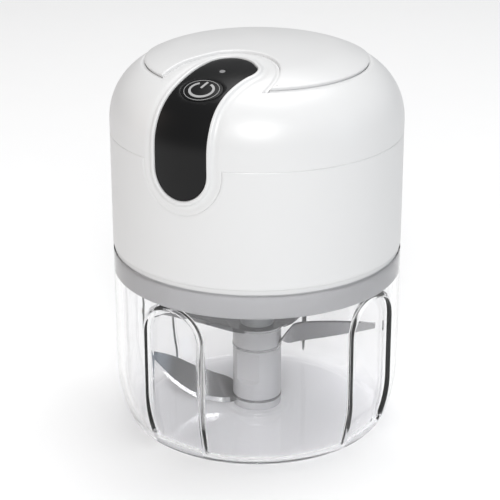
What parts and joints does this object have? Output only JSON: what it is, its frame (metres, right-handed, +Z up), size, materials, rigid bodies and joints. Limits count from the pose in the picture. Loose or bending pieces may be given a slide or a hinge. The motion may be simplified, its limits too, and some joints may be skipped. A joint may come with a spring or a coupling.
{
  "type": "food processor",
  "caption": "Cordless mini chopper: clear fluted bowl with a stacked blade set and a lift-off domed motor unit with a power button.",
  "frame": {"origin": "centre of the bowl's flat base, on the surface the chopper stands on", "axes": "+Z up along the blade axis, -Y towards the control panel, +X to the panel's right seen from above with the panel nearest"},
  "size_m": [0.085, 0.0855, 0.1161],
  "materials": {
    "clear_plastic": "clear gloss",
    "polished_steel": "polished",
    "blade_steel": "ground",
    "hub_plastic": "satin",
    "cap_plastic": "satin",
    "pale_grey_plastic": "satin",
    "white_silicone": "soft satin",
    "black_rubber": "matte",
    "zinc_plate": "zinc plated",
    "bronze": "sintered",
    "black_plastic": "matte",
    "lamination_steel": "stacked sheet",
    "copper": "enamelled",
    "ferrite": "dull",
    "grey_plastic": "matte",
    "white_plastic": "gloss",
    "gloss_black": "high gloss",
    "lens_plastic": "translucent",
    "circuit_board": "solder mask",
    "battery_sleeve": "shrink sleeve"
  },
  "bodies": {
    "bowl": {"bowl": "clear_plastic", "bowl_spindle": "polished_steel"},
    "blade_stack": {"blade_hub": "hub_plastic", "lower_spacer": "hub_plastic", "upper_spacer": "hub_plastic", "hub_cap": "cap_plastic", "lower_blade": "blade_steel", "middle_blade": "blade_steel", "top_blade": "blade_steel"},
    "motor_unit": {"drive_cover": "pale_grey_plastic", "housing_screws": "polished_steel", "seal_ring": "white_silicone", "shaft_seal": "black_rubber", "motor_can": "zinc_plate", "lower_bushing": "bronze", "upper_bushing": "bronze", "motor_end_cap": "black_plastic", "field_magnets": "ferrite", "motor_frame": "grey_plastic", "housing_shell": "white_plastic", "dome_cover": "white_plastic", "top_plate": "white_plastic", "control_panel": "gloss_black", "indicator_lens": "lens_plastic", "control_board": "circuit_board", "board_screws": "polished_steel", "tact_switch": "black_plastic", "battery_cell": "battery_sleeve", "battery_holder": "grey_plastic", "charging_socket": "polished_steel", "power_board": "circuit_board"},
    "drive": {"drive_shaft": "polished_steel", "motor_shaft": "polished_steel", "rotor_core": "lamination_steel", "rotor_winding": "copper", "commutator": "copper"},
    "button": {"power_button": "gloss_black"},
    "flap": {"port_cover": "white_silicone"}
  },
  "joints": [
    {"name": "unit_lift", "type": "slide", "parent": "bowl", "child": "motor_unit", "axis": [0, 0, 1], "range_m": [0, 0.12]},
    {"name": "blade_spin", "type": "hinge", "parent": "bowl", "child": "blade_stack", "pos_m": [0, 0, 0.02], "axis": [0, 0, 1], "continuous": true},
    {"name": "drive_spin", "type": "hinge", "parent": "motor_unit", "child": "drive", "pos_m": [0, 0, 0.06], "axis": [0, 0, 1], "continuous": true},
    {"name": "button_press", "type": "slide", "parent": "motor_unit", "child": "button", "axis": [0, 0.4939, -0.8695], "range_m": [0, 0.0008], "stiffness_N_per_m": 500},
    {"name": "flap_swing", "type": "hinge", "parent": "motor_unit", "child": "flap", "pos_m": [0, 0.042, 0.07605], "axis": [1, 0, 0], "range_deg": [0, 100]}
  ],
  "couplings": [
    {"joint": "blade_spin", "follows": "drive_spin", "ratio": 1}
  ]
}
